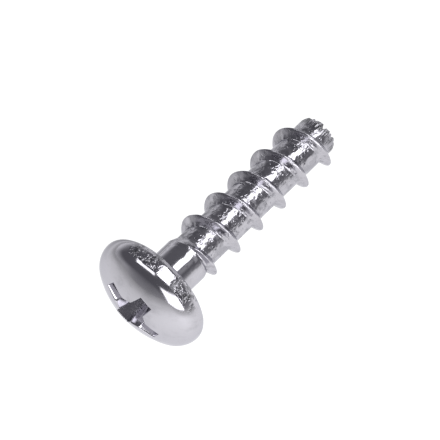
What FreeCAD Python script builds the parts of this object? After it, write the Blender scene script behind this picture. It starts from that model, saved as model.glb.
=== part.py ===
"""Pan head thread-forming screw with a cross recess, lying on its head rim and last thread turns.

The screw is one piece of steel wire, headed and then thread rolled. It is modelled along its own axis first:
z is 0 at the bearing face under the head, the head is below it and the shank above. It is then laid down.
"""
import FreeCAD, Part
import math
import os
from types import SimpleNamespace

import Sketcher

# Driving sizes in millimetres, angles in degrees, turns of thread in turns.
SIZES = [
    ("headDiameter", 8.38, "outer diameter of the pan head"),
    ("headHeight", 2.95, "bearing face to the top of the crown"),
    ("headEdgeRadius", 0.7, "rounding from the bearing face to the rim"),
    ("headSideRadius", 1.39, "rounding from the rim to the crown"),
    ("neckDiameter", 3.31, "plain neck below the head"),
    ("neckLength", 2.6, "bearing face to the end of the plain neck"),
    ("neckTaper", 0.6, "length of the cone from the neck to the core"),
    ("neckFillet", 0.3, "fillet between the neck and the bearing face"),
    ("shankLength", 16.28, "bearing face to the tip"),
    ("coreDiameter", 2.88, "core between the thread turns"),
    ("tipDiameter", 2.58, "flat end of the tip"),
    ("tipBevel", 0.34, "length of the cone at the tip"),
    ("tipCupDiameter", 1.7, "hollow that rolling leaves in the tip"),
    ("tipCupDepth", 0.3, "depth of that hollow"),
    ("threadDiameter", 4.13, "over the thread crests"),
    ("threadPitch", 2.333, "one turn of the coarse thread"),
    ("threadCrest", 0.08, "flat on the crest"),
    ("threadFlankAngle", 28.0, "each flank, from square to the axis"),
    ("threadStart", 2.13, "bearing face to the hidden start of the thread"),
    ("threadEndGap", 0.04, "foot of the hidden thread end to the tip"),
    ("threadRunIn", 0.7376, "turns over which each millimetre of thread height grows"),
    ("threadRunOut", 0.4255, "turns over which each millimetre of thread height dies away"),
    ("threadRoot", 0.12, "how far the thread reaches into the core"),
    ("threadHide", 0.08, "how far below the core the crest starts and ends"),
    ("recessReach", 2.45, "screw axis to the wing ends, level with the top of the crown"),
    ("recessReachFloor", 1.4, "screw axis to the wing ends, at the floor"),
    ("recessWing", 0.98, "width of a wing, level with the top of the crown"),
    ("recessWingFloor", 0.62, "width of a wing at its floor"),
    ("recessMiddle", 1.74, "axis to the corners of the middle, level with the top of the crown"),
    ("recessMiddleFloor", 1.0, "axis to the corners of the middle, at the floor"),
    ("recessDepth", 2.15, "top of the crown to the floor of the wings"),
    ("recessPointDiameter", 1.2, "conical point below the floor"),
    ("recessPoint", 0.3, "depth of that point"),
    ("recessAngle", 26.9, "turn of the recess against the thread start"),
    ("nickDepth", 0.42, "deepest tear in the edge of the tip"),
    ("nickWidth", 0.5, "width of the widest tear in the edge of the tip"),
    ("restRoll", 84.3, "turn from the thread start to the side that faces up"),
]

# Torn places round the tip: angle from the thread start, then share of the full depth and width.
TIP_NICKS = [
    (10.0, 0.5, 0.6), (48.0, 0.7, 0.5), (75.0, 0.55, 0.6), (108.0, 0.65, 0.7), (145.0, 0.9, 0.6),
    (168.0, 0.6, 0.6), (220.0, 1.0, 1.0), (270.0, 0.5, 0.7), (325.0, 0.8, 0.8),
]
POINTS_PER_TURN = 24
SPANS_PER_TURN = 2
CUT_LEAD = 0.3  # how far each cutting shape starts outside the metal


def make_sheet(doc):
    """Puts every driving size into a spreadsheet cell with its name as alias."""
    sheet = doc.addObject("Spreadsheet::Sheet", "Sizes")
    for row, (name, value, note) in enumerate(SIZES, start=1):
        sheet.set(f"A{row}", note)
        sheet.set(f"B{row}", str(value))
        sheet.setAlias(f"B{row}", name)
    doc.recompute()
    return sheet


def origin_item(body, role):
    """Finds an origin plane or axis of the body by its role."""
    return next(item for item in body.Origin.OriginFeatures if item.Role == role)


def add_sketch(body, name, role, offset=None, lift=None):
    """Adds a sketch on an origin plane; lift is an expression for its height above that plane."""
    sketch = body.newObject("Sketcher::SketchObject", name)
    sketch.AttachmentSupport = [(origin_item(body, role), "")]
    sketch.MapMode = "FlatFace"
    if offset is not None:
        sketch.AttachmentOffset = offset
    if lift is not None:
        sketch.setExpression("AttachmentOffset.Base.z", lift)
    return sketch


def pin_distance(sketch, kind, place, expression, value):
    """Adds one dimension to a sketch and binds it to the sheet."""
    index = sketch.addConstraint(Sketcher.Constraint(kind, *place, value))
    sketch.setExpression(f"Constraints[{index}]", expression)


def line(start, end):
    return Part.LineSegment(FreeCAD.Vector(*start, 0), FreeCAD.Vector(*end, 0))


def arc(centre, radius, start_angle, end_angle):
    """Arc running counter-clockwise, angles in radians."""
    circle = Part.Circle(FreeCAD.Vector(*centre, 0), FreeCAD.Vector(0, 0, 1), radius)
    return Part.ArcOfCircle(circle, start_angle, end_angle)


def quad(sketch, corners, kinds, rules):
    """Closed four-sided outline; kinds name the side constraints, rules the bound dimensions."""
    for index in range(4):
        sketch.addGeometry(line(corners[index], corners[(index + 1) % 4]), False)
    for index in range(4):
        sketch.addConstraint(Sketcher.Constraint("Coincident", index, 2, (index + 1) % 4, 1))
    for kind, place in kinds:
        sketch.addConstraint(Sketcher.Constraint(kind, *place))
    for kind, place, expression, value in rules:
        pin_distance(sketch, kind, place, expression, value)


def blank_outline(sketch, size):
    """Half section of the headed blank: crown, side and edge arcs, neck, core and bevelled tip."""
    rim, edge, side = size.headDiameter / 2, size.headEdgeRadius, size.headSideRadius
    neck, core, tip = size.neckDiameter / 2, size.coreDiameter / 2, size.tipDiameter / 2
    rise = size.headHeight - edge
    flat = rim - side
    crown = (flat ** 2 + rise ** 2 - side ** 2) / (2 * (rise - side))
    lean = math.asin(flat / (crown - side))
    down = -math.pi / 2
    cone_end = size.neckLength + size.neckTaper
    shank = size.shankLength
    bevel = shank - size.tipBevel
    fillet = size.neckFillet
    parts = [
        arc((0, crown - size.headHeight), crown, down, down + lean),
        arc((flat, -edge), side, down + lean, 0),
        arc((rim - edge, -edge), edge, 0, math.pi / 2),
        line((rim - edge, 0), (neck + fillet, 0)),
        arc((neck + fillet, fillet), fillet, math.pi, math.pi * 1.5),
        line((neck, fillet), (neck, size.neckLength)),
        line((neck, size.neckLength), (core, cone_end)),
        line((core, cone_end), (core, bevel)),
        line((core, bevel), (tip, shank)),
        line((tip, shank), (0, shank)),
        line((0, shank), (0, -size.headHeight)),
    ]
    crown_arc, side_arc, edge_arc, bearing, fillet_arc, neck_line = range(6)
    cone, core_line, tip_cone, end, axis = range(6, 11)
    sketch.addGeometry(parts, False)
    join = [
        ("Tangent", crown_arc, 2, side_arc, 1), ("Tangent", side_arc, 2, edge_arc, 1),
        ("Tangent", edge_arc, 2, bearing, 1), ("Tangent", bearing, 2, fillet_arc, 2),
        ("Tangent", fillet_arc, 1, neck_line, 1), ("Coincident", neck_line, 2, cone, 1),
        ("Coincident", cone, 2, core_line, 1), ("Coincident", core_line, 2, tip_cone, 1),
        ("Coincident", tip_cone, 2, end, 1), ("Coincident", end, 2, axis, 1),
        ("Coincident", axis, 2, crown_arc, 1), ("PointOnObject", crown_arc, 3, -2),
        ("PointOnObject", end, 2, -2), ("PointOnObject", axis, 2, -2),
        ("PointOnObject", bearing, 1, -1), ("Horizontal", bearing), ("Vertical", neck_line),
        ("Vertical", core_line), ("Horizontal", end), ("Horizontal", side_arc, 3, side_arc, 2),
    ]
    for constraint in join:
        sketch.addConstraint(Sketcher.Constraint(*constraint))
    pin_distance(sketch, "DistanceX", (-1, 1, side_arc, 2), "Sizes.headDiameter / 2", rim)
    pin_distance(sketch, "DistanceY", (axis, 2, -1, 1), "Sizes.headHeight", size.headHeight)
    pin_distance(sketch, "Radius", (edge_arc,), "Sizes.headEdgeRadius", edge)
    pin_distance(sketch, "Radius", (side_arc,), "Sizes.headSideRadius", side)
    pin_distance(sketch, "Radius", (fillet_arc,), "Sizes.neckFillet", fillet)
    pin_distance(sketch, "DistanceX", (-1, 1, neck_line, 2), "Sizes.neckDiameter / 2", neck)
    pin_distance(sketch, "DistanceY", (-1, 1, neck_line, 2), "Sizes.neckLength", size.neckLength)
    pin_distance(sketch, "DistanceY", (cone, 1, cone, 2), "Sizes.neckTaper", size.neckTaper)
    pin_distance(sketch, "DistanceX", (-1, 1, core_line, 2), "Sizes.coreDiameter / 2", core)
    pin_distance(sketch, "DistanceX", (-1, 1, tip_cone, 2), "Sizes.tipDiameter / 2", tip)
    pin_distance(sketch, "DistanceY", (tip_cone, 1, tip_cone, 2), "Sizes.tipBevel", size.tipBevel)
    pin_distance(sketch, "DistanceY", (-1, 1, tip_cone, 2), "Sizes.shankLength", shank)


def add_blank(body, size):
    """The headed blank: head, neck, core and tip in one revolution."""
    sketch = add_sketch(body, "BlankOutline", "XZ_Plane")
    blank_outline(sketch, size)
    blank = body.newObject("PartDesign::Revolution", "Blank")
    blank.Profile = sketch
    blank.ReferenceAxis = (sketch, ["V_Axis"])
    blank.Angle = 360.0
    return blank


def split_curve(curve, spans):
    """Cuts a curve into equal spans that still run smoothly into each other."""
    first, last = curve.FirstParameter, curve.LastParameter
    edges = []
    for index in range(spans):
        piece = curve.copy()
        piece.segment(first + (last - first) * index / spans, first + (last - first) * (index + 1) / spans)
        edges.append(piece.toShape())
    return Part.Wire(edges)


def section_depth(size):
    """Height of the thread's section, from its crest to its hidden foot inside the core."""
    return (size.threadDiameter - size.coreDiameter) / 2 + size.threadRoot


def half_foot(size):
    """Half the width of the thread's section at its foot."""
    return size.threadCrest / 2 + section_depth(size) * math.tan(math.radians(size.threadFlankAngle))


def thread_end(size):
    """Height where the crest line ends: the section's foot stays inside the tip there."""
    return size.shankLength - half_foot(size) - size.threadEndGap


def thread_dive(size):
    """How far the crest line dives at its two ends, from the full crest to just below the core."""
    return (size.threadDiameter - size.coreDiameter) / 2 + size.threadHide


def thread_path(size):
    """Centre line of the crest: a helix whose two ends dive below the core, so the thread grows and dies."""
    dive = thread_dive(size)
    run_in, run_out = dive * size.threadRunIn, dive * size.threadRunOut
    turns = (thread_end(size) - size.threadStart) / size.threadPitch
    count = round(turns * POINTS_PER_TURN)
    points = []
    for step in range(count + 1):
        turn = turns * step / count
        grown = min(turn / run_in, (turns - turn) / run_out, 1.0)
        radius = size.threadDiameter / 2 - dive * (1 + math.cos(math.pi * grown)) / 2
        angle = 2 * math.pi * turn
        height_now = size.threadStart + size.threadPitch * turn
        points.append(FreeCAD.Vector(radius * math.cos(angle), radius * math.sin(angle), height_now))
    curve = Part.BSplineCurve()
    curve.interpolate(points)
    return split_curve(curve, math.ceil(turns * SPANS_PER_TURN))


def thread_section(sketch, size):
    """Section of the thread at its start: flat crest and two flanks, its crest just below the core."""
    crest_place = size.coreDiameter / 2 - size.threadHide
    depth, half_crest, half_root = section_depth(size), size.threadCrest / 2, half_foot(size)
    middle = size.threadStart
    inner = crest_place - depth
    corners = [
        (inner, middle - half_root), (crest_place, middle - half_crest),
        (crest_place, middle + half_crest), (inner, middle + half_root),
    ]
    full_depth = "(Sizes.threadDiameter - Sizes.coreDiameter) / 2 + Sizes.threadRoot"
    half_root_rule = f"Sizes.threadCrest / 2 + ({full_depth}) * tan(Sizes.threadFlankAngle * 1deg)"
    crest_rule = "Sizes.coreDiameter / 2 - Sizes.threadHide"
    rules = [
        ("DistanceX", (-1, 1, 1, 1), crest_rule, crest_place),
        ("DistanceX", (0, 1, 0, 2), full_depth, depth),
        ("DistanceY", (1, 1, 1, 2), "Sizes.threadCrest", size.threadCrest),
        ("DistanceY", (0, 1, 3, 1), f"2 * ({half_root_rule})", 2 * half_root),
        ("DistanceY", (-1, 1, 1, 1), "Sizes.threadStart - Sizes.threadCrest / 2", middle - half_crest),
        ("DistanceY", (-1, 1, 0, 1), f"Sizes.threadStart - ({half_root_rule})", middle - half_root),
    ]
    quad(sketch, corners, [("Vertical", (1,)), ("Vertical", (3,))], rules)


def add_thread(doc, body, size):
    """The rolled thread: its section carried along the crest line, square to the axis all the way."""
    path = doc.addObject("Part::Feature", "ThreadPath")
    path.Shape = thread_path(size)
    sketch = add_sketch(body, "ThreadSection", "XZ_Plane")
    thread_section(sketch, size)
    doc.recompute()
    thread = body.newObject("PartDesign::AdditivePipe", "Thread")
    thread.Profile = sketch
    thread.Spine = (path, [f"Edge{number + 1}" for number in range(len(path.Shape.Edges))])
    thread.Mode = "Frenet"
    return thread


def recess_level(size, name, above):
    """Value and expression of a recess size at the floor, or just above the crown along the same slope."""
    crown, floor = getattr(size, name), getattr(size, name + "Floor")
    if not above:
        return floor, f"Sizes.{name}Floor"
    rule = f"Sizes.{name} + (Sizes.{name} - Sizes.{name}Floor) * {CUT_LEAD} / Sizes.recessDepth"
    return crown + (crown - floor) * CUT_LEAD / size.recessDepth, rule


def recess_sketch(body, name, above):
    """Empty sketch square to the axis, turned with the recess, above the crown or at the floor."""
    lift = f"-Sizes.headHeight - {CUT_LEAD}" if above else "-Sizes.headHeight + Sizes.recessDepth"
    sketch = add_sketch(body, name, "XY_Plane", lift=lift)
    sketch.setExpression("AttachmentOffset.Rotation.Angle", "Sizes.recessAngle * 1deg")
    return sketch


def wing_sketch(body, size, name, above):
    """Rectangle through the axis: two wings that face each other."""
    sketch = recess_sketch(body, name, above)
    reach, reach_rule = recess_level(size, "recessReach", above)
    width, width_rule = recess_level(size, "recessWing", above)
    half = width / 2
    corners = [(-reach, -half), (reach, -half), (reach, half), (-reach, half)]
    kinds = [("Horizontal", (0,)), ("Vertical", (1,)), ("Horizontal", (2,)), ("Vertical", (3,))]
    rules = [
        ("DistanceX", (-1, 1, 0, 2), reach_rule, reach),
        ("DistanceX", (0, 1, -1, 1), reach_rule, reach),
        ("DistanceY", (0, 2, -1, 1), f"({width_rule}) / 2", half),
        ("DistanceY", (-1, 1, 1, 2), f"({width_rule}) / 2", half),
    ]
    quad(sketch, corners, kinds, rules)
    return sketch


def middle_sketch(body, size, name, above):
    """Square standing on its corners, one corner along each wing."""
    sketch = recess_sketch(body, name, above)
    reach, rule = recess_level(size, "recessMiddle", above)
    corners = [(reach, 0), (0, reach), (-reach, 0), (0, -reach)]
    kinds = [("PointOnObject", (index, 1, -1 - index % 2)) for index in range(4)]
    rules = [
        ("DistanceX", (-1, 1, 0, 1), rule, reach),
        ("DistanceY", (-1, 1, 1, 1), rule, reach),
        ("DistanceX", (2, 1, -1, 1), rule, reach),
        ("DistanceY", (3, 1, -1, 1), rule, reach),
    ]
    quad(sketch, corners, kinds, rules)
    return sketch


def cut_loft(body, name, upper, lower):
    """Cuts the shape between two sketches out of the body."""
    loft = body.newObject("PartDesign::SubtractiveLoft", name)
    loft.Profile = upper
    loft.Sections = [lower]
    loft.Ruled = True
    return loft


def cut_round(body, name, corners, kinds, rules):
    """Cuts a turned hollow; its outline is a half section whose first and last corners lie on the axis."""
    sketch = add_sketch(body, name + "Outline", "XZ_Plane")
    on_axis = [("PointOnObject", (corner, 1, -2)) for corner in (0, 3)]
    quad(sketch, corners, on_axis + kinds, rules)
    groove = body.newObject("PartDesign::Groove", name)
    groove.Profile = sketch
    groove.ReferenceAxis = (sketch, ["V_Axis"])
    groove.Angle = 360.0
    return groove


def add_recess(doc, body, size):
    """Cross recess: a round middle with a conical point, a tapered square and four tapered wings."""
    top = size.headHeight + CUT_LEAD
    floor = -size.headHeight + size.recessDepth
    radius = size.recessPointDiameter / 2
    tip = floor + size.recessPoint
    corners = [(0, -top), (radius, -top), (radius, floor), (0, tip)]
    floor_rule = "-Sizes.headHeight + Sizes.recessDepth"
    rules = [
        ("DistanceX", (-1, 1, 1, 1), "Sizes.recessPointDiameter / 2", radius),
        ("DistanceY", (0, 1, -1, 1), f"Sizes.headHeight + {CUT_LEAD}", top),
        ("DistanceY", (-1, 1, 1, 2), floor_rule, floor),
        ("DistanceY", (-1, 1, 3, 1), f"{floor_rule} + Sizes.recessPoint", tip),
    ]
    cut_round(body, "RecessPoint", corners, [("Horizontal", (0,)), ("Vertical", (1,))], rules)
    upper = middle_sketch(body, size, "MiddleAbove", True)
    lower = middle_sketch(body, size, "MiddleFloor", False)
    cut_loft(body, "RecessMiddle", upper, lower)
    upper = wing_sketch(body, size, "WingsAbove", True)
    lower = wing_sketch(body, size, "WingsFloor", False)
    wings = cut_loft(body, "RecessWings", upper, lower)
    doc.recompute()
    pattern = body.newObject("PartDesign::PolarPattern", "RecessCross")
    pattern.Originals = [wings]
    pattern.Axis = (origin_item(body, "Z_Axis"), [""])
    pattern.Angle = 90.0
    pattern.Occurrences = 2
    body.Tip = pattern


def face_end(body, size):
    """Faces the end: nothing of the hidden thread end, which leans a little, stands out beyond the tip."""
    shank, radius = size.shankLength, size.coreDiameter / 2
    top = shank + CUT_LEAD
    rules = [
        ("DistanceX", (-1, 1, 1, 1), "Sizes.coreDiameter / 2", radius),
        ("DistanceY", (-1, 1, 1, 1), "Sizes.shankLength", shank),
        ("DistanceY", (-1, 1, 1, 2), f"Sizes.shankLength + {CUT_LEAD}", top),
    ]
    kinds = [("Horizontal", (0,)), ("Vertical", (1,)), ("Horizontal", (2,))]
    cut_round(body, "TipFace", [(0, shank), (radius, shank), (radius, top), (0, top)], kinds, rules)


def add_tip(doc, body, size):
    """Torn, hollow end: a shallow cup and V-shaped tears of uneven depth round its edge."""
    face_end(body, size)
    shank, cup = size.shankLength, size.tipCupDiameter / 2
    inner = cup / 2
    bottom = shank - size.tipCupDepth
    corners = [(0, bottom), (inner, bottom), (cup, shank), (0, shank)]
    rules = [
        ("DistanceX", (-1, 1, 0, 2), "Sizes.tipCupDiameter / 4", inner),
        ("DistanceX", (-1, 1, 2, 1), "Sizes.tipCupDiameter / 2", cup),
        ("DistanceY", (-1, 1, 0, 1), "Sizes.shankLength - Sizes.tipCupDepth", bottom),
        ("DistanceY", (-1, 1, 2, 1), "Sizes.shankLength", shank),
        ("DistanceY", (-1, 1, 3, 1), "Sizes.shankLength", shank),
    ]
    cut_round(body, "TipCup", corners, [("Horizontal", (0,))], rules)
    for number, (angle, deep, wide) in enumerate(TIP_NICKS, start=1):
        add_nick(body, size, f"TipNick{number}", angle, deep, wide)
    doc.recompute()


def add_nick(body, size, name, angle, deep, wide):
    """One tear: a V cut outward from the axis through the edge of the tip, at an angle about the axis."""
    turned = FreeCAD.Placement(FreeCAD.Vector(0, 0, 0), FreeCAD.Rotation(FreeCAD.Vector(0, 1, 0), angle))
    sketch = add_sketch(body, name + "Outline", "YZ_Plane", offset=turned)
    end = size.shankLength
    half = size.nickWidth * wide / 2
    depth = size.nickDepth * deep
    corners = [(0, end - depth), (half, end), (0, end + depth), (-half, end)]
    kinds = [("PointOnObject", (0, 1, -2)), ("PointOnObject", (2, 1, -2))]
    rules = [
        ("DistanceY", (-1, 1, 0, 1), f"Sizes.shankLength - Sizes.nickDepth * {deep}", end - depth),
        ("DistanceY", (-1, 1, 2, 1), f"Sizes.shankLength + Sizes.nickDepth * {deep}", end + depth),
        ("DistanceX", (-1, 1, 1, 1), f"Sizes.nickWidth * {wide} / 2", half),
        ("DistanceX", (3, 1, -1, 1), f"Sizes.nickWidth * {wide} / 2", half),
        ("DistanceY", (-1, 1, 1, 1), "Sizes.shankLength", end),
        ("DistanceY", (-1, 1, 3, 1), "Sizes.shankLength", end),
    ]
    quad(sketch, corners, kinds, rules)
    nick = body.newObject("PartDesign::Pocket", name)
    nick.Profile = sketch
    nick.Reversed = True
    nick.setExpression("Length", "Sizes.threadDiameter")


def lay_down(body, size):
    """Rests the screw on its head rim and its last full thread turn, origin under the middle of its box."""
    full_end = thread_end(size) - thread_dive(size) * size.threadRunOut * size.threadPitch
    below = math.radians(size.restRoll + 180.0)
    turn_below = below / (2 * math.pi)
    last_turn = math.floor((full_end - size.threadStart) / size.threadPitch - turn_below)
    crest = size.threadStart + (last_turn + turn_below) * size.threadPitch
    drop = (size.headDiameter - size.threadDiameter) / 2
    tilt = math.degrees(math.atan(drop / (crest + size.headEdgeRadius)))
    roll = FreeCAD.Rotation(FreeCAD.Vector(0, 0, 1), 180.0 - size.restRoll)
    lie = FreeCAD.Rotation(FreeCAD.Vector(0, 1, 0), 90.0 + tilt)
    body.Placement = FreeCAD.Placement(FreeCAD.Vector(0, 0, 0), lie * roll)
    box = body.Shape.optimalBoundingBox(False)
    middle = FreeCAD.Vector((box.XMin + box.XMax) / 2, (box.YMin + box.YMax) / 2, box.ZMin)
    body.Placement = FreeCAD.Placement(-middle, body.Placement.Rotation)
    print("tilt", round(tilt, 3), "last full crest below at", round(crest, 3))


def check_objects(doc):
    """Stops if any object of the document failed."""
    for item in doc.Objects:
        if "Invalid" in item.State or "Error" in item.State:
            raise RuntimeError(f"{item.Name} failed: {item.State} {item.getStatusString()}")


def main():
    doc = FreeCAD.newDocument("PanHeadScrew")
    sheet = make_sheet(doc)
    size = SimpleNamespace(**{name: float(getattr(sheet, name)) for name, value, note in SIZES})
    body = doc.addObject("PartDesign::Body", "Screw")
    body.Label = "screw"
    add_blank(body, size)
    doc.recompute()
    blank_volume = body.Shape.Volume
    print("blank volume", round(blank_volume, 3))
    add_thread(doc, body, size)
    doc.recompute()
    if body.Shape.Volume < blank_volume + 1:
        raise RuntimeError("the thread was not joined to the blank")
    print("with thread", round(body.Shape.Volume, 3))
    add_recess(doc, body, size)
    doc.recompute()
    print("with recess", round(body.Shape.Volume, 3))
    add_tip(doc, body, size)
    doc.recompute()
    print("with torn tip", round(body.Shape.Volume, 3))
    check_objects(doc)
    lay_down(body, size)
    shape = body.Shape
    if shape.isNull() or not shape.isValid() or len(shape.Solids) != 1:
        raise RuntimeError("the screw is not one valid solid")
    os.makedirs("parts", exist_ok=True)
    shape.exportStep(f"parts/{body.Label}.step")
    box = shape.optimalBoundingBox(False)
    print("box", [round(v, 3) for v in (box.XMin, box.XMax, box.YMin, box.YMax, box.ZMin, box.ZMax)])


main()
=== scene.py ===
import math

import bpy
import numpy as np
from mathutils import Matrix, Vector


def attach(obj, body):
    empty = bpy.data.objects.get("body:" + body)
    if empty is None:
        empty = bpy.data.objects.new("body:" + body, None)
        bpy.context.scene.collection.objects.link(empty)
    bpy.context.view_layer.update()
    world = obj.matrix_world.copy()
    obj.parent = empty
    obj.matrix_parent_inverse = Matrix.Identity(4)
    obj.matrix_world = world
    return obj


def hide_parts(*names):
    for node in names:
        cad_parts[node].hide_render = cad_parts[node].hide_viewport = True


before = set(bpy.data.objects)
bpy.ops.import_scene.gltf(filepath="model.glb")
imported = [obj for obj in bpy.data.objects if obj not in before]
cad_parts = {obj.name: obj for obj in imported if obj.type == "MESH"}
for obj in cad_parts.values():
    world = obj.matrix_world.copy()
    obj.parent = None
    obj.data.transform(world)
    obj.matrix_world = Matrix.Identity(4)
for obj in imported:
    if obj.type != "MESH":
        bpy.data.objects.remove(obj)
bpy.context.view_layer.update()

print("frame loaded")

# The screw's own axes: millimetres and degrees, height 0 at the bearing face, the head below it, the shank above.
# How it lies: place of the bearing face, slope of its axis, side that faces up.
pose = {"bearing": (-6.651769, 0.0, 4.043802), "tilt": 8.70748, "top": 84.3}

columns = 240  # vertices in every ring
noiseCells = 64  # cells of noise once round the screw
sharpFrom = 38  # edges that turn further than this are shaded sharp
snap = 0.012  # points of the thread this close to a join are moved onto it
seeds = {"wander": 3, "waver": 4, "pitting": 5, "burrs": 7, "grooves": 9}

# Edge and side are the arcs below and above the widest place of the head.
head = {"radius": 4.19, "height": 2.95, "edge": 0.7, "side": 1.39}
neck = {"radius": 1.655, "length": 2.6, "taper": 0.6, "fillet": 0.3, "joinAt": 1.6}
# At the mouth and at the bottom: reach is a wing's length from the axis, wing its width, middle the distance across
# and up together of the square's sides. Corners: their columns in a quarter, and how far they are eased.
recess = {
    "reach": (2.45, 1.4), "wing": (0.98, 0.62), "middle": (1.74, 1.0), "depth": 2.15, "angle": 26.9,
    "point": 0.42, "pointRadius": 0.85, "lip": 0.07, "flare": 0.15, "flareDepth": 0.5,
    "corners": (0, 5, 21, 39, 55), "ease": 0.25,
}
# Rings of vertices on each part of the head: shares of the way along it, or how many.
headSteps = {
    "point": (0.08, 0.3, 0.55, 0.8, 0.95), "floor": (0.05, 0.35, 0.7, 0.93),
    "wall": (0.03, 0.1, 0.2, 0.32, 0.44, 0.56, 0.68, 0.79, 0.89, 0.96), "lip": (0, 0.25, 0.5, 0.75, 1),
    "crown": 18, "side": 10, "edge": 10, "under": (0.12, 0.35, 0.6, 0.85, 1), "fillet": 6, "neck": 18,
}
# Run-in and run-out are in turns; past them the thread is sunk below the core. Wander, waver and pitting: height,
# and cells of noise a turn or a millimetre.
thread = {
    "radius": 2.06, "core": 1.435, "pitch": 2.333, "crest": 0.15, "flank": 27.5,
    "start": 2.13, "end": 15.77, "runIn": 0.52, "runOut": 0.3, "hide": 0.06, "sunk": 0.5,
    "rootRound": 0.14, "wander": (0.02, 9), "waver": (0.007, 31), "noiseShift": 40, "pitting": (0.006, 9),
}
# Rows of vertices from the crest to halfway between two turns: in half crest widths on it, how many elsewhere.
threadSteps = {
    "crest": (0, 0.3, 0.6, 0.9, 1.25, 1.7, 2.3, 3.1), "flank": 6, "foot": 5, "root": 6,
    "footBand": 0.08, "fade": 0.08, "turns": (-2, 8),
}
tip = {
    "length": 16.28, "radius": 1.285, "bevel": 0.34, "joinAt": 15.86, "cup": 0.85, "cupDepth": 0.3,
    "nickDepth": 0.5, "nickWidth": 0.5, "ragged": 0.09, "raggedCells": 6,
    "groove": 0.15, "grooveFrom": 0.15, "grooveCells": 1.5, "bevelRings": 11, "endRings": 13,
}
# Torn places round the tip: angle, share of the full depth, share of the full width.
tipNicks = [
    (10.0, 0.5, 0.6), (48.0, 0.7, 0.5), (75.0, 0.55, 0.6), (108.0, 0.65, 0.7), (145.0, 0.9, 0.6),
    (168.0, 0.6, 0.6), (220.0, 1.0, 1.0), (270.0, 0.5, 0.7), (325.0, 0.8, 0.8),
]

columnAngle = np.arange(columns) * 360 / columns + recess["angle"]
columnCell = np.arange(columns) * noiseCells / columns


def between(first, last, share):
    # a share of the way from the first to the last
    return first + (last - first) * share


def steps(first, last, count):
    # evenly spaced places from the first, which is left out, to the last
    return np.linspace(first, last, count + 1)[1:]


def softNoise(u, v, seed):
    # smooth random height from -1 to 1 over a square lattice of random values, closed round the screw in v
    long, around = 512, noiseCells
    table = np.random.default_rng(seed).uniform(-1, 1, (long, around))
    iu, iv = np.floor(u).astype(int), np.floor(v).astype(int)
    fu, fv = u - iu, v - iv
    fu, fv = fu * fu * (3 - 2 * fu), fv * fv * (3 - 2 * fv)
    low = table[iu % long, iv % around] * (1 - fv) + table[iu % long, (iv + 1) % around] * fv
    high = table[(iu + 1) % long, iv % around] * (1 - fv) + table[(iu + 1) % long, (iv + 1) % around] * fv
    return low * (1 - fu) + high * fu


def softMax(a, b, width):
    # the larger of two heights, rounded where they meet
    share = np.clip(0.5 + 0.5 * (a - b) / width, 0, 1)
    return b + (a - b) * share + width * share * (1 - share)


def crownHeight(r):
    # height of the crown at radius r: a wide arc that runs on smoothly into the side arc
    flat, rise = head["radius"] - head["side"], head["height"] - head["edge"]
    crown = (flat ** 2 + rise ** 2 - head["side"] ** 2) / (2 * (rise - head["side"]))
    lean = math.asin(flat / (crown - head["side"]))
    turn = crown * math.sin(lean)
    onCrown = crown - np.sqrt(crown ** 2 - np.minimum(r, turn) ** 2) - head["height"]
    reach = np.maximum(r, turn) - flat
    onSide = -head["edge"] - np.sqrt(np.maximum(head["side"] ** 2 - reach ** 2, 0))
    return np.where(r <= turn, onCrown, onSide), turn, lean


def recessOutline(share):
    # cross with a square middle at a share of the depth: straight runs between five corners in each quarter,
    # turned four times, and wings that widen towards the mouth along a parabola
    reach, wing, middle = [between(*recess[name], share) for name in ("reach", "wing", "middle")]
    half = wing / 2 + recess["flare"] * np.clip(1 - share / recess["flareDepth"], 0, 1) ** 2
    perQuarter = columns // 4
    step, quarter = np.arange(columns) % perQuarter, np.arange(columns) // perQuarter
    marks = [*recess["corners"], perQuarter]
    xs = [reach, reach, middle - half, half, half, half * 0]
    ys = [reach * 0, half, half, middle - half, reach, reach]
    x, y = np.zeros(columns), np.zeros(columns)
    for run in range(len(marks) - 1):
        inside = (step >= marks[run]) & (step < marks[run + 1])
        along = (step - marks[run]) / (marks[run + 1] - marks[run])
        x = np.where(inside, between(xs[run], xs[run + 1], along), x)
        y = np.where(inside, between(ys[run], ys[run + 1], along), y)
    c, s = np.array([1, 0, -1, 0])[quarter], np.array([0, 1, 0, -1])[quarter]
    x, y = x * c - y * s, x * s + y * c
    # corners are eased a little, but stay sharp at the ends of the wings
    ease = np.where(np.isin(step, (marks[1], marks[4])), 0, recess["ease"])

    def eased(values):
        return values + ease * (np.roll(values, 1) - 2 * values + np.roll(values, -1))

    return eased(x), eased(y)


def ring(r, z):
    # circle of radius r at height z
    angle = np.arange(columns) * 2 * math.pi / columns
    return r * np.cos(angle), r * np.sin(angle), z + 0 * angle


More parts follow.
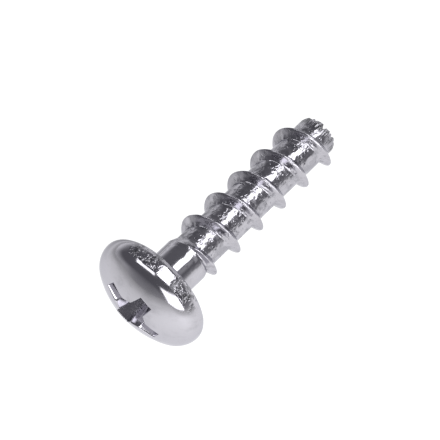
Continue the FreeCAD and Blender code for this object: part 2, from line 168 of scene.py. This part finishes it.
def headRows():
    # rings from the point of the recess up its walls, over the lip and crown, round the rim to the neck
    rows = []
    # share of the depth at which each column's wall meets the crown, found by trying
    share = np.full(columns, 0.2)
    for _ in range(12):
        x, y = recessOutline(share)
        share = (crownHeight(np.hypot(x, y))[0] + head["height"]) / recess["depth"]
    floorHeight = recess["depth"] - head["height"]
    footX, footY = recessOutline(np.ones(columns))
    toward = np.arctan2(footY, footX)
    pointX, pointY = recess["pointRadius"] * np.cos(toward), recess["pointRadius"] * np.sin(toward)
    for t in headSteps["point"]:
        rows.append((pointX * t, pointY * t, floorHeight + recess["point"] * (1 - t) + 0 * pointX))
    for t in headSteps["floor"]:
        rows.append((between(pointX, footX, t), between(pointY, footY, t), floorHeight + 0 * footX))

    def wall(part):
        level = 1 + (share - 1) * part
        x, y = recessOutline(level)
        return x, y, recess["depth"] * level - head["height"]

    belowLip = 1 - recess["lip"] / (recess["depth"] * (1 - share))
    for t in headSteps["wall"]:
        rows.append(wall(t * belowLip))
    turn, lean = crownHeight(np.array(0.0))[1:]
    corner, outer = wall(np.ones(columns)), ring(turn, 0)
    away = np.hypot(outer[0] - corner[0], outer[1] - corner[1])

    def crown(part):
        x, y = between(corner[0], outer[0], part), between(corner[1], outer[1], part)
        return x, y, crownHeight(np.hypot(x, y))[0]

    # the lip is a parabola between a point on the wall and one on the crown
    start = recess["lip"] / away
    low, high = wall(belowLip), crown(start)
    for t in headSteps["lip"]:
        rows.append(tuple((1 - t) ** 2 * low[k] + 2 * t * (1 - t) * corner[k] + t * t * high[k] for k in range(3)))
    for t in steps(0, 1, headSteps["crown"]):
        rows.append(crown(start + (1 - start) * t))
    for angle in steps(lean - math.pi / 2, 0, headSteps["side"]):
        r = head["radius"] - head["side"] * (1 - math.cos(angle))
        rows.append(ring(r, head["side"] * math.sin(angle) - head["edge"]))
    for angle in steps(0, math.pi / 2, headSteps["edge"]):
        rows.append(ring(head["radius"] - head["edge"] * (1 - math.cos(angle)), head["edge"] * (math.sin(angle) - 1)))
    inner, fillet = head["radius"] - head["edge"], neck["radius"] + neck["fillet"]
    for t in headSteps["under"]:
        rows.append(ring(between(inner, fillet, t), 0))
    for angle in steps(0, math.pi / 2, headSteps["fillet"]):
        rows.append(ring(fillet - neck["fillet"] * math.sin(angle), neck["fillet"] * (1 - math.cos(angle))))
    for z in steps(neck["fillet"], neck["joinAt"], headSteps["neck"]):
        rows.append(ring(neck["radius"], z))
    rows = np.array([np.stack(row, 1) for row in rows])
    c, s = math.cos(math.radians(recess["angle"])), math.sin(math.radians(recess["angle"]))
    x, y = rows[:, :, 0] * c - rows[:, :, 1] * s, rows[:, :, 0] * s + rows[:, :, 1] * c
    return np.stack([x, y, rows[:, :, 2]], 2)


def coreRadius(z):
    # plain neck, a short cone, the core between the turns
    share = np.clip((z - neck["length"]) / neck["taper"], 0, 1)
    return between(neck["radius"], thread["core"], share)


def crestRadius(turn):
    # radius of the crest at a number of turns: it rises and dies away along half a cosine, and is a little uneven
    turns = (thread["end"] - thread["start"]) / thread["pitch"]
    grown = np.clip(np.minimum(turn / thread["runIn"], (turns - turn) / thread["runOut"]), 0, 1)
    dive = thread["radius"] - thread["core"] + thread["hide"]
    crest = thread["radius"] - dive * (1 + np.cos(math.pi * grown)) / 2
    outside = np.maximum(-turn, turn - turns)

    def ripple(name):
        height, cells = thread[name]
        return height * softNoise(turn * cells + thread["noiseShift"], turn * 0, seeds[name])

    uneven = ripple("wander") + ripple("waver")
    return crest - np.clip(outside, 0, 1) * thread["sunk"] + (uneven - thread["waver"][0]) * grown


def threadRows():
    # rows that follow the helix: a ridge with a rounded crest and straight flanks, merged softly into the core;
    # the rows are closest at the crest and the roots
    steep = 1 / math.tan(math.radians(thread["flank"]))
    crest = thread["crest"] / 2
    foot = crest + (thread["radius"] - thread["core"]) / steep
    band = threadSteps["footBand"]
    onCrest = crest * np.array(threadSteps["crest"])
    offsets = np.concatenate([
        onCrest,
        steps(onCrest[-1], foot - band, threadSteps["flank"]),
        steps(foot - band, foot + band, threadSteps["foot"]),
        steps(foot + band, thread["pitch"] / 2, threadSteps["root"]),
    ])
    offsets = np.concatenate([-offsets[1:-1][::-1], offsets])
    perTurn = len(offsets)
    turnNumbers = np.arange(*threadSteps["turns"])
    turnNumber = np.repeat(turnNumbers, perTurn)
    offset = np.tile(offsets, len(turnNumbers))
    order = np.argsort(turnNumber * thread["pitch"] + offset, kind="stable")
    turnNumber, offset = turnNumber[order], offset[order]
    turn = turnNumber[:, None] + columnAngle[None, :] / 360
    z = thread["start"] + thread["pitch"] * turn + offset[:, None]
    away = np.abs(offset)[:, None] + 0 * z
    ridge = crestRadius(turn) - (np.sqrt(away ** 2 + crest ** 2) - crest) * steep
    height, cells = thread["pitting"]
    body = coreRadius(z) + height * softNoise(z * cells, columnCell[None, :] + 0 * z, seeds["pitting"])
    fade = np.clip((tip["joinAt"] - z) / threadSteps["fade"], 0, 1)
    r = softMax(body - thread["sunk"] + (ridge - body + thread["sunk"]) * fade, body, thread["rootRound"])
    angle = np.radians(columnAngle)[None, :]
    points = np.stack([r * np.cos(angle), r * np.sin(angle), z], 2)
    return points, perTurn


def tipEnd(r, angle):
    # height of the end at a radius: the flat rim, the cup in it and the lowest of the V-shaped tears
    inner = tip["cup"] / 2
    height = tip["length"] - tip["cupDepth"] * np.clip((tip["cup"] - r) / inner, 0, 1)
    for at, deep, wide in tipNicks:
        turned = np.radians(angle - at)
        across = np.abs(r * np.sin(turned)) / (tip["nickWidth"] * wide / 2)
        cut = tip["length"] - tip["nickDepth"] * deep * np.maximum(0, 1 - across)
        height = np.where(np.cos(turned) > 0, np.minimum(height, cut), height)
    return height


def tipRows():
    # rings up the grooved bevel to the torn edge, then in over the end towards the axis
    def burrs(r):
        return tip["ragged"] * (1 + softNoise(r * tip["raggedCells"], columnCell, seeds["burrs"])) / 2

    angle = columnAngle
    edge = tipEnd(tip["radius"] + 0 * angle, angle) - burrs(0 * angle)
    rows = []
    for t in steps(0, 1, tip["bevelRings"]):
        z = between(tip["joinAt"], edge, t)
        bevel = np.clip((z - tip["length"] + tip["bevel"]) / tip["bevel"], 0, 1)
        grooves = tip["grooveFrom"] + softNoise(z * tip["grooveCells"], columnCell, seeds["grooves"])
        rows.append((between(thread["core"], tip["radius"], bevel) - tip["groove"] * np.clip(grooves, 0, 1) * t, z))
    r = rows[-1][0]
    for t in steps(1, 0, tip["endRings"])[:-1]:
        rows.append((r * t, tipEnd(r * t, angle) - burrs(r * t) * t))
    a = np.radians(angle)
    return np.array([np.stack([r * np.cos(a), r * np.sin(a), z], 1) for r, z in rows])


def ringNumbers(start, count):
    # vertex numbers of a stack of rings
    return list(start + np.arange(count * columns).reshape(count, columns))


def ringFaces(rings):
    # quads between neighbouring rings, facing outwards when each ring lies further up the axis than the one before
    return [
        np.stack([low, np.roll(low, -1), np.roll(high, -1), high], 1) for low, high in zip(rings, rings[1:])
    ]


def screwSurface():
    # the head's rings, the thread's strip and the tip's rings sewn into one skin; where the strip crosses a join,
    # its points beyond take the number of the ring's vertex in the same column
    top, (strip, perTurn), bottom = headRows(), threadRows(), tipRows()
    low, high = neck["joinAt"], tip["joinAt"]
    z = strip[:, :, 2]
    keep = np.any((z > low) & (z < high), axis=1)
    first = max(np.argmax(keep) - 1, 0)
    last = len(keep) - np.argmax(keep[::-1]) + 1
    strip, z = strip[first:last], z[first:last]
    free = (z > low + snap) & (z < high - snap)
    freeCount = int(free.sum())

    # vertices in order: head, ring at the upper join, free points of the strip, tip, poles of the tip and the head
    headCount = top.shape[0] * columns
    tipStart = headCount + columns + freeCount
    tipPole = tipStart + bottom.shape[0] * columns
    headPole = tipPole + 1
    headRings = ringNumbers(0, top.shape[0])
    tipRings = ringNumbers(headCount, 1) + ringNumbers(tipStart, bottom.shape[0])
    joinX, joinY = [thread["core"] * turned(np.radians(columnAngle)) for turned in (np.cos, np.sin)]
    joinRing = np.stack([joinX, joinY, high + 0 * joinX], 1)
    poles = [[0, 0, bottom[-1, :, 2].mean()], [0, 0, recess["depth"] - head["height"] + recess["point"]]]
    points = [top.reshape(-1, 3), joinRing, strip[free], bottom.reshape(-1, 3), np.array(poles)]

    number = np.zeros(z.shape, int)
    number[free] = headCount + columns + np.arange(freeCount)
    number = np.where(z <= low + snap, headRings[-1][None, :], number)
    number = np.where(z >= high - snap, tipRings[0][None, :], number)
    # after the last column the strip goes on a turn further up
    closing = np.concatenate([number[perTurn:, 0], np.full(perTurn, tipRings[0][0])])
    number = np.concatenate([number, closing[:, None]], 1)
    a, b = number[:-1, :-1].ravel(), number[:-1, 1:].ravel()
    c, d = number[1:, 1:].ravel(), number[1:, :-1].ravel()
    # a quad with two corners on one vertex leaves a triangle or nothing
    halves = np.concatenate([np.stack([a, b, c], 1), np.stack([a, c, d], 1)])
    whole = (a != b) & (b != c) & (c != d) & (d != a) & (a != c) & (b != d)
    broken = halves[np.concatenate([~whole, ~whole])]
    distinct = (broken[:, 0] != broken[:, 1]) & (broken[:, 1] != broken[:, 2]) & (broken[:, 2] != broken[:, 0])
    quads = [np.stack([a, b, c, d], 1)[whole]] + ringFaces(headRings) + ringFaces(tipRings)
    triangles = [
        broken[distinct],
        np.stack([tipRings[-1], np.roll(tipRings[-1], -1), np.full(columns, tipPole)], 1),
        np.stack([np.roll(headRings[0], -1), headRings[0], np.full(columns, headPole)], 1),
    ]
    return np.concatenate(points), np.concatenate(quads), np.concatenate(triangles)


def layDown(points):
    # from millimetres on the screw's own axes to metres where it lies: turned about its axis, tilted, moved
    tilt, top = math.radians(pose["tilt"]), math.radians(pose["top"])
    axis = np.array([math.cos(tilt), 0, -math.sin(tilt)])
    up = np.array([math.sin(tilt), 0, math.cos(tilt)])
    side = np.cross(axis, up)
    x = points[:, 0] * math.cos(top) + points[:, 1] * math.sin(top)
    y = points[:, 1] * math.cos(top) - points[:, 0] * math.sin(top)
    placed = x[:, None] * up + y[:, None] * side + points[:, 2:3] * axis
    return (placed + np.array(pose["bearing"])) / 1000


def addMesh(name, points, quads, triangles):
    # mesh laid down in place, which remembers the screw's own coordinates for its material
    mesh = bpy.data.meshes.new(name)
    mesh.from_pydata(layDown(points).tolist(), [], quads.tolist() + triangles.tolist())
    mesh.validate()
    piece = bpy.data.objects.new(name, mesh)
    bpy.context.collection.objects.link(piece)
    mesh.polygons.foreach_set("use_smooth", np.ones(len(mesh.polygons), bool))
    mesh.set_sharp_from_angle(angle=math.radians(sharpFrom))
    place = mesh.attributes.new("screwPlace", "FLOAT_VECTOR", "POINT")
    place.data.foreach_set("vector", points.astype(np.float32).ravel())
    return piece


points, quads, triangles = screwSurface()
screw = addMesh("rolledScrew", points, quads, triangles)
print("screw surface", len(points), "points", len(quads) * 2 + len(triangles), "triangles")

# Colours, heights in millimetres and places on the screw's own axes. A ramp is given by where it starts and ends,
# and by its values there unless they are 0 and 1 or follow from the roughness.
steel = {
    "light": (0.5, 0.49, 0.53), "dull": (0.33, 0.325, 0.355), "dark": (0.17, 0.17, 0.18), "edge": (0.8, 0.8, 0.83),
    "grain": 0.0003, "streak": 0.0035, "lump": 0.06, "pit": 0.018, "rimPit": 0.029, "tear": 0.1,
    "rimLow": (-1.33, -1.15), "rimHigh": (-0.12, 0.02, 1.0, 0.0), "rimRadius": (3.35, 3.6),
    "rimSide": (-0.28, 0.96, 0), "rimReach": (0.69, 0.84), "rimSmooth": (0.98, 0.992, 1.0, 0.1),
    "rolledFrom": (2.2, 2.7), "tornFrom": (15.3, 15.75), "flank": (1.52, 1.72, 1.0, 0.35), "pitEdge": (-0.03, 0.09),
    "blotchTone": (0.4, 0.62, 0.0, 0.75), "cloudTone": (0.45, 0.75, 0.0, 0.4), "wornTone": 0.5,
    "tearTone": (-0.06, 0.05), "rimTone": 0.65,
    "roughness": (0.09, 0.24), "cloudRough": (0.35, 0.75), "rolledRough": 0.35, "wornRough": 0.6,
}
# Noises over the screw; scales in cells a millimetre.
noises = {
    "grain": {"Scale": 28.0, "Detail": 2.0},
    "lumps": {"Scale": 2.2, "Detail": 1.5, "Roughness": 0.45},
    "cloud": {"Scale": 1.1, "Detail": 3.0},
    "blotches": {"Scale": 1.9, "Detail": 2.0, "Roughness": 0.6},
}


def addNode(tree, kind, links=(), **settings):
    # one node: settings whose names are sockets set those sockets, the others are the node's own options
    node = tree.nodes.new(kind)
    for name, value in settings.items():
        if hasattr(node, name):
            setattr(node, name, value)
        else:
            node.inputs[name].default_value = value
    for source, target in links:
        tree.links.new(source, node.inputs[target])
    return node


def calculate(tree, operation, a, b=0.0, c=0.0):
    # one sum on numbers or sockets
    node = tree.nodes.new("ShaderNodeMath")
    node.operation = operation
    for index, value in enumerate((a, b, c)):
        if isinstance(value, (int, float)):
            node.inputs[index].default_value = value
        else:
            tree.links.new(value, node.inputs[index])
    return node.outputs[0]


def withVector(tree, operation, source, vector):
    # one sum of a vector socket with a fixed vector
    node = addNode(tree, "ShaderNodeVectorMath", [(source, 0)], operation=operation)
    node.inputs[1].default_value = vector
    return node.outputs


def ramp(tree, value, low, high, first=0.0, last=1.0):
    # first below low, last above high, an S-shaped rise between them
    node = addNode(tree, "ShaderNodeMapRange", [(value, "Value")], interpolation_type="SMOOTHSTEP")
    for name, number in (("From Min", low), ("From Max", high), ("To Min", first), ("To Max", last)):
        node.inputs[name].default_value = number
    return node.outputs["Result"]


def mixColour(tree, share, first, second):
    # blend of two colours, each a tuple or a socket
    node = tree.nodes.new("ShaderNodeMix")
    node.data_type = "RGBA"
    tree.links.new(share, node.inputs["Factor"])
    for socket, value in zip([s for s in node.inputs if s.type == "RGBA"], (first, second)):
        if isinstance(value, tuple):
            socket.default_value = (*value, 1)
        else:
            tree.links.new(value, socket)
    return next(s for s in node.outputs if s.type == "RGBA")


def newGroup(name, inputs, outputs):
    # empty node group; an input with a value is a number, one without is a vector
    group = bpy.data.node_groups.new(name, "ShaderNodeTree")
    kinds = {"number": "NodeSocketFloat", "vector": "NodeSocketVector"}
    for title, value in inputs.items():
        kind = "vector" if value is None else "number"
        socket = group.interface.new_socket(title, in_out="INPUT", socket_type=kinds[kind])
        if value is not None:
            socket.default_value = value
    for title, kind in outputs.items():
        group.interface.new_socket(title, in_out="OUTPUT", socket_type=kinds[kind])
    return group, group.nodes.new("NodeGroupInput").outputs, group.nodes.new("NodeGroupOutput").inputs


def useGroup(tree, group, links=(), **values):
    # a group placed in a material, with its own values and links
    node = tree.nodes.new("ShaderNodeGroup")
    node.node_tree = group
    for name, value in values.items():
        node.inputs[name].default_value = value
    for source, target in links:
        tree.links.new(source, node.inputs[target])
    return node.outputs


def screwZones():
    # masks along and across the screw from its own millimetre coordinates, and directions round its axis
    outputs = {"Rim": "number", "Rolled": "number", "Torn": "number"}
    outputs.update({"Round": "vector", "Radius": "number", "Along": "number"})
    group, given, out = newGroup("screw zones", {"Place": None}, outputs)
    x, y, z = addNode(group, "ShaderNodeSeparateXYZ", [(given["Place"], 0)]).outputs
    radius = calculate(group, "SQRT", calculate(group, "MULTIPLY_ADD", x, x, calculate(group, "MULTIPLY", y, y)))
    notZero = calculate(group, "MAXIMUM", radius, 0.05)
    sides = [(calculate(group, "DIVIDE", x, notZero), 0), (calculate(group, "DIVIDE", y, notZero), 1)]
    around = addNode(group, "ShaderNodeCombineXYZ", sides).outputs[0]
    facing = withVector(group, "DOT_PRODUCT", around, steel["rimSide"])["Value"]
    rim = calculate(group, "MULTIPLY", ramp(group, z, *steel["rimLow"]), ramp(group, z, *steel["rimHigh"]))
    rim = calculate(group, "MULTIPLY", rim, ramp(group, radius, *steel["rimRadius"]))
    rim = calculate(group, "MULTIPLY", rim, ramp(group, facing, *steel["rimReach"]))
    rim = calculate(group, "MULTIPLY", rim, ramp(group, facing, *steel["rimSmooth"]))
    rolled, torn = ramp(group, z, *steel["rolledFrom"]), ramp(group, z, *steel["tornFrom"])
    for name, value in zip(outputs, (rim, rolled, torn, around, radius, z)):
        group.links.new(value, out[name])
    return group


def rollingStreaks():
    # fine lines round the axis, from noise that is stretched round it and tight along it and across it
    inputs = {"Round": None, "Radius": 0.0, "Along": 0.0, "Tightness": 14.0, "Reach": 1.5}
    group, given, out = newGroup("rolling streaks", inputs, {"Height": "number"})
    spread = addNode(group, "ShaderNodeVectorMath", [(given["Round"], 0), (given["Reach"], 3)], operation="SCALE")
    along = calculate(group, "MULTIPLY", given["Along"], given["Tightness"])
    lift = addNode(group, "ShaderNodeCombineXYZ", [(along, 2)])
    sources = [(spread.outputs[0], 0), (lift.outputs[0], 1)]
    place = addNode(group, "ShaderNodeVectorMath", sources, operation="ADD").outputs[0]
    depth = calculate(group, "MULTIPLY", given["Radius"], given["Tightness"])
    sources = [(place, "Vector"), (depth, "W")]
    noise = addNode(group, "ShaderNodeTexNoise", sources, noise_dimensions="4D", Scale=1.0, Detail=3.0)
    group.links.new(calculate(group, "SUBTRACT", noise.outputs["Fac"], 0.5), out["Height"])
    return group


def pitting():
    # scattered pits: the low places of a noise, with a mask that says where they are deepest
    inputs = {"Place": None, "Size": 5.0, "Amount": 0.5}
    group, given, out = newGroup("pitting", inputs, {"Height": "number", "Mask": "number"})
    sources = [(given["Place"], "Vector"), (given["Size"], "Scale")]
    noise = addNode(group, "ShaderNodeTexNoise", sources, Detail=2.0, Roughness=0.6)
    low = calculate(group, "SUBTRACT", given["Amount"], noise.outputs["Fac"])
    mask = ramp(group, low, *steel["pitEdge"])
    group.links.new(calculate(group, "MULTIPLY", mask, -1.0), out["Height"])
    group.links.new(mask, out["Mask"])
    return group


def platedSteel():
    # bright plating: streaked, lumpy and pitted where it is rolled, pitted on the rim, dark where it is torn
    material = bpy.data.materials.new("plated steel")
    material.use_nodes = True
    tree = material.node_tree
    shader = tree.nodes["Principled BSDF"]
    place = addNode(tree, "ShaderNodeAttribute", attribute_name="screwPlace").outputs["Vector"]
    zones = useGroup(tree, screwZones(), [(place, "Place")])
    streaks, pits = rollingStreaks(), pitting()
    ringLinks = [(zones[name], name) for name in ("Round", "Radius", "Along")]
    fine = useGroup(tree, streaks, ringLinks, Tightness=16.0, Reach=2.0)["Height"]
    tears = useGroup(tree, streaks, ringLinks[:1], Reach=9.0)["Height"]
    corePits = useGroup(tree, pits, [(place, "Place")], Size=2.6, Amount=0.42)
    rimPits = useGroup(tree, pits, [(place, "Place")], Size=2.9, Amount=0.5)
    grain, lumps, cloud, blotches = [
        addNode(tree, "ShaderNodeTexNoise", [(place, "Vector")], **noises[name]).outputs["Fac"] for name in noises
    ]
    # heights, each in its zone; the flanks have less of what the core has
    coarse = calculate(tree, "MULTIPLY", zones["Rolled"], ramp(tree, zones["Radius"], *steel["flank"]))
    rolled = calculate(tree, "MULTIPLY", fine, steel["streak"])
    rolled = calculate(tree, "MULTIPLY_ADD", lumps, steel["lump"], rolled)
    rolled = calculate(tree, "MULTIPLY_ADD", corePits["Height"], steel["pit"], rolled)
    rim = calculate(tree, "MULTIPLY", rimPits["Height"], steel["rimPit"])
    torn = calculate(tree, "MULTIPLY", tears, steel["tear"])
    height = calculate(tree, "MULTIPLY", grain, steel["grain"])
    for part, zone in ((rolled, coarse), (rim, zones["Rim"]), (torn, zones["Torn"])):
        height = calculate(tree, "MULTIPLY_ADD", part, zone, height)
    bump = addNode(tree, "ShaderNodeBump", [(height, "Height")], Strength=1.0, Distance=0.001)
    tree.links.new(bump.outputs["Normal"], shader.inputs["Normal"])
    # colour: light, duller in blotches and pits, dark in the tears and the pits of the rim
    rimWorn = calculate(tree, "MULTIPLY", rimPits["Mask"], zones["Rim"])
    worn = calculate(tree, "MAXIMUM", calculate(tree, "MULTIPLY", corePits["Mask"], zones["Rolled"]), rimWorn)
    blotches = calculate(tree, "MULTIPLY", ramp(tree, blotches, *steel["blotchTone"]), coarse)
    dull = calculate(tree, "MAXIMUM", blotches, ramp(tree, cloud, *steel["cloudTone"]))
    dull = calculate(tree, "MULTIPLY_ADD", worn, steel["wornTone"], dull)
    colour = mixColour(tree, dull, steel["light"], steel["dull"])
    # darker on the tip's tear streaks and in the pits of the rim
    darkenedShare = calculate(tree, "MULTIPLY", ramp(tree, tears, *steel["tearTone"]), zones["Torn"])
    darkenedShare = calculate(tree, "MAXIMUM", darkenedShare, calculate(tree, "MULTIPLY", rimWorn, steel["rimTone"]))
    tree.links.new(mixColour(tree, darkenedShare, colour, steel["dark"]), shader.inputs["Base Color"])
    low, high = steel["roughness"]
    rough = ramp(tree, cloud, *steel["cloudRough"], low, (low + high) / 2)
    rough = calculate(tree, "MULTIPLY_ADD", zones["Rolled"], (high - low) * steel["rolledRough"], rough)
    rough = calculate(tree, "MULTIPLY_ADD", worn, (high - low) * steel["wornRough"], rough)
    tree.links.new(rough, shader.inputs["Roughness"])
    shader.inputs["Metallic"].default_value = 1
    shader.inputs["Specular Tint"].default_value = (*steel["edge"], 1)
    return material


screw.data.materials.append(platedSteel())
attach(screw, "root")
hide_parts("screw")
print("material done")

# Camera on the screw's own axes, so it stays with the screw; lens, sensor and clip as Blender takes them.
shot = {
    "position": (-47.09, 127.326, -56.833), "aim": (-0.5103, 2.3988, 5.2129),
    "right": (-0.75213, 0.04607, 0.6574), "lens": 185.31, "sensor": 36, "clip": (0.001, 10),
}


def addCamera():
    # looks from its position to its aim, with its right side towards a direction
    camera = bpy.data.cameras.new("camera")
    camera.lens, camera.sensor_width = shot["lens"], shot["sensor"]
    camera.clip_start, camera.clip_end = shot["clip"]
    holder = bpy.data.objects.new("camera", camera)
    bpy.context.collection.objects.link(holder)
    aim = np.array(shot["aim"])
    marks = layDown(np.array([shot["position"], aim, aim + np.array(shot["right"])]))
    position, target, beside = [Vector(mark) for mark in marks]
    back = (position - target).normalized()
    right = (beside - target).normalized()
    right = (right - back * right.dot(back)).normalized()
    turned = Matrix((right, back.cross(right), back)).transposed()
    holder.matrix_world = Matrix.Translation(position) @ turned.to_4x4()
    bpy.context.scene.camera = holder


addCamera()
print("camera done")

# The studio is in metres round the screw. Dark is the colour overhead, white the floor's glow in the camera.
studio = {"dark": (0.135, 0.133, 0.148), "floorSize": 2.4, "floorColour": (0.02, 0.02, 0.02), "white": 1.1}
# Painted light on the floor, seen only in reflections: its glow by distance from the screw, a painted pool of light
# that fades away from it, and how much brighter it is on one side.
floor = {
    "glow": (
        (0.0, 1.0), (0.008, 1.08), (0.016, 1.05), (0.026, 0.93),
        (0.04, 0.83), (0.07, 0.62), (0.14, 0.5), (1.2, 0.4),
    ),
    "toward": (-0.6, -0.8, 0), "side": 0.1, "span": 0.02,
}
# Round spots painted on the floor's glow, brighter or darker: a painted pool of light and the screw's painted shadow;
# centre, radius where it ends and change in the middle.
paintedFloorSpots = {
    "paintedLightPool": {"centre": (-0.02, -0.015, 0), "radius": 0.018, "change": 0.35},
    "shade": {"centre": (0.003, 0.015, 0), "radius": 0.018, "change": -0.55},
}
# Panels: centre and size, glow, and whether they face straight down or towards the screw.
panels = {
    "overheadStrip": {"centre": (0.235, -0.23, 0.5), "size": (0.87, 0.32), "glow": 3.6, "down": True},
    "sideStrip": {"centre": (-0.27, 0.18, 0.5), "size": (0.13, 0.42), "glow": 2.4, "down": True},
    "sideSpot": {"centre": (-0.14, 0.31, 0.5), "size": (0.12, 0.12), "glow": 2.4, "down": True},
    "window": {"centre": (-0.461, -0.401, 0.16), "size": (0.57, 0.37), "glow": 2.6, "down": False},
}
# The room: glow at the horizon on its dim and bright sides, a haze above it on one side, and a pale soft spot.
# Heights and reaches are cosines: 0 is level or straight across, 1 straight up or straight towards.
room = {
    "horizon": (0.2, 0.5), "brightSide": (0.5, 0.86, 0), "brightReach": (-0.2, 0.5), "height": 0.32,
    "haze": 0.35, "hazeSide": (0.8, 0.6, 0), "hazeReach": (0.4, 0.75), "hazeHeight": (0.1, 0.55),
    "spot": (0.23, -0.754, 0.616), "spotReach": (0.93, 0.985), "spotGlow": 0.35, "right": 0.05,
}


def addFloor():
    # flat sheet, white to the camera; in reflections it glows with painted light that follows a curve of the distance
    # from the screw, is brighter on one side and holds a painted pool of light and a painted shadow of the screw
    half = studio["floorSize"] / 2
    mesh = bpy.data.meshes.new("studioFloor")
    mesh.from_pydata([(-half, -half, 0), (half, -half, 0), (half, half, 0), (-half, half, 0)], [], [(0, 1, 2, 3)])
    sheet = bpy.data.objects.new("studioFloor", mesh)
    bpy.context.collection.objects.link(sheet)
    material = bpy.data.materials.new("studio floor")
    material.use_nodes = True
    tree = material.node_tree
    shader = tree.nodes["Principled BSDF"]
    shader.inputs["Base Color"].default_value = (*studio["floorColour"], 1)
    shader.inputs["Roughness"].default_value = 0.9
    shader.inputs["Specular IOR Level"].default_value = 0
    shader.inputs["Emission Strength"].default_value = 1
    place = addNode(tree, "ShaderNodeTexCoord").outputs["Object"]
    away = addNode(tree, "ShaderNodeVectorMath", [(place, 0)], operation="LENGTH").outputs["Value"]
    # the curve runs over the root of the distance and holds half the glow, because it stays between 0 and 1
    reach = floor["glow"][-1][0]
    share = calculate(tree, "SQRT", calculate(tree, "DIVIDE", away, reach))
    fade = addNode(tree, "ShaderNodeFloatCurve", [(share, "Value")])
    curve = fade.mapping.curves[0]
    for index, (distance, glow) in enumerate(floor["glow"]):
        spot = ((distance / reach) ** 0.5, glow / 2)
        if index < 2:
            curve.points[index].location = spot
        else:
            curve.points.new(*spot)
    for point in curve.points:
        point.handle_type = "VECTOR"
    fade.mapping.update()
    # painted light: one side of the floor glows brighter
    side = withVector(tree, "DOT_PRODUCT", place, floor["toward"])["Value"]
    lift = ramp(tree, side, -floor["span"], floor["span"], 2.0, 2.0 + 2 * floor["side"])
    glow = calculate(tree, "MULTIPLY", fade.outputs[0], lift)
    # painted pool of light and painted shadow of the screw, multiplied into the floor's glow
    for spot in paintedFloorSpots.values():
        near = withVector(tree, "DISTANCE", place, spot["centre"])["Value"]
        change = ramp(tree, near, 0.0, spot["radius"], 1 + spot["change"], 1.0)
        glow = calculate(tree, "MULTIPLY", glow, change)
    # the camera sees the floor plain white; the painted light and shadow on it show only in reflections
    seen = addNode(tree, "ShaderNodeLightPath").outputs["Is Camera Ray"]
    glow = calculate(tree, "MAXIMUM", glow, calculate(tree, "MULTIPLY", seen, studio["white"]))
    tree.links.new(glow, shader.inputs["Emission Color"])
    mesh.materials.append(material)


def addPanel(name, centre, size, glow, down):
    # rectangle light; its power is the glow times its area times pi
    light = bpy.data.lights.new(name, "AREA")
    light.shape = "RECTANGLE"
    light.size, light.size_y = size
    light.energy = glow * size[0] * size[1] * math.pi
    holder = bpy.data.objects.new(name, light)
    bpy.context.collection.objects.link(holder)
    back = Vector((0, 0, 1)) if down else Vector(centre).normalized()
    turned = Matrix.Identity(4) if down else back.to_track_quat("Z", "Y").to_matrix().to_4x4()
    holder.matrix_world = Matrix.Translation(Vector(centre)) @ turned
    holder.visible_camera = False


def addWorld():
    # dark overhead, paler towards the horizon, by the direction looked in
    world = bpy.data.worlds.new("studio")
    world.use_nodes = True
    tree = world.node_tree
    toward = addNode(tree, "ShaderNodeTexCoord").outputs["Generated"]

    def along(direction):
        return withVector(tree, "DOT_PRODUCT", toward, direction)["Value"]

    low = ramp(tree, along((0, 0, 1)), 0.0, room["height"], 1.0, 0.0)
    horizon = ramp(tree, along(room["brightSide"]), *room["brightReach"], *room["horizon"])
    glow = calculate(tree, "MULTIPLY", low, horizon)
    haze = ramp(tree, along((0, 0, 1)), *room["hazeHeight"], room["haze"], 0.0)
    haze = calculate(tree, "MULTIPLY", haze, ramp(tree, along(room["hazeSide"]), *room["hazeReach"]))
    spot = ramp(tree, along(room["spot"]), *room["spotReach"], 0.0, room["spotGlow"])
    right = ramp(tree, along((1, 0, 0)), 0.0, 1.0, 0.0, room["right"])
    for more in (haze, spot, right):
        glow = calculate(tree, "ADD", glow, more)
    colour = withVector(tree, "ADD", glow, studio["dark"])[0]
    tree.links.new(colour, tree.nodes["Background"].inputs["Color"])
    tree.nodes["Background"].inputs["Strength"].default_value = 1
    bpy.context.scene.world = world


addFloor()
for name, values in panels.items():
    addPanel(name, **values)
addWorld()
bpy.context.scene.view_settings.view_transform = "Standard"
print("studio done")
